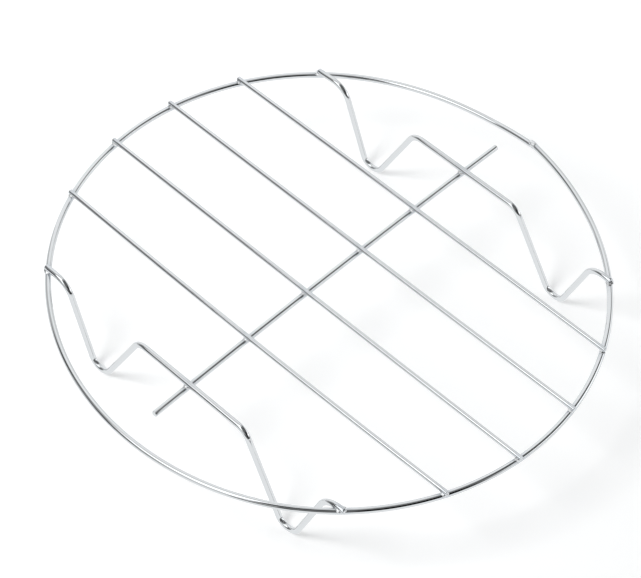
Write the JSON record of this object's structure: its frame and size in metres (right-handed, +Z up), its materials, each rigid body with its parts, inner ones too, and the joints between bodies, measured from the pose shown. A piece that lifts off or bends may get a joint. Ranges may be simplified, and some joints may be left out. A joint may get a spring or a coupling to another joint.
{
  "type": "round wire cooling rack",
  "caption": "Round wire cooling rack: a rim ring with straight parallel bars on top, a cross bar under them and two bent leg wires whose V-shaped feet hold it above the table.",
  "frame": {"origin": "on the table, under the middle of the round rim", "axes": "+X along the rack bars, +Y from the front leg wire to the rear one, +Z up"},
  "size_m": [0.263, 0.2646, 0.0462],
  "materials": {
    "chrome_wire": "bright chrome-plated steel wire",
    "weld_metal": "plated over small, slightly rough resistance welds"
  },
  "bodies": {
    "root": {"cross_bar": "chrome_wire", "leg_wire_front": "chrome_wire", "leg_wire_rear": "chrome_wire", "rack_bar_1": "chrome_wire", "rack_bar_2": "chrome_wire", "rack_bar_3": "chrome_wire", "rack_bar_4": "chrome_wire", "rim_ring": "chrome_wire", "weld_bar_1_left": "weld_metal", "weld_bar_1_middle": "weld_metal", "weld_bar_1_right": "weld_metal", "weld_bar_2_left": "weld_metal", "weld_bar_2_middle": "weld_metal", "weld_bar_2_right": "weld_metal", "weld_bar_3_left": "weld_metal", "weld_bar_3_middle": "weld_metal", "weld_bar_3_right": "weld_metal", "weld_bar_4_left": "weld_metal", "weld_bar_4_middle": "weld_metal", "weld_bar_4_right": "weld_metal", "weld_leg_front_left": "weld_metal", "weld_leg_front_middle": "weld_metal", "weld_leg_front_right": "weld_metal", "weld_leg_rear_left": "weld_metal", "weld_leg_rear_middle": "weld_metal", "weld_leg_rear_right": "weld_metal", "weld_rim_butt": "weld_metal"}
  },
  "joints": []
}
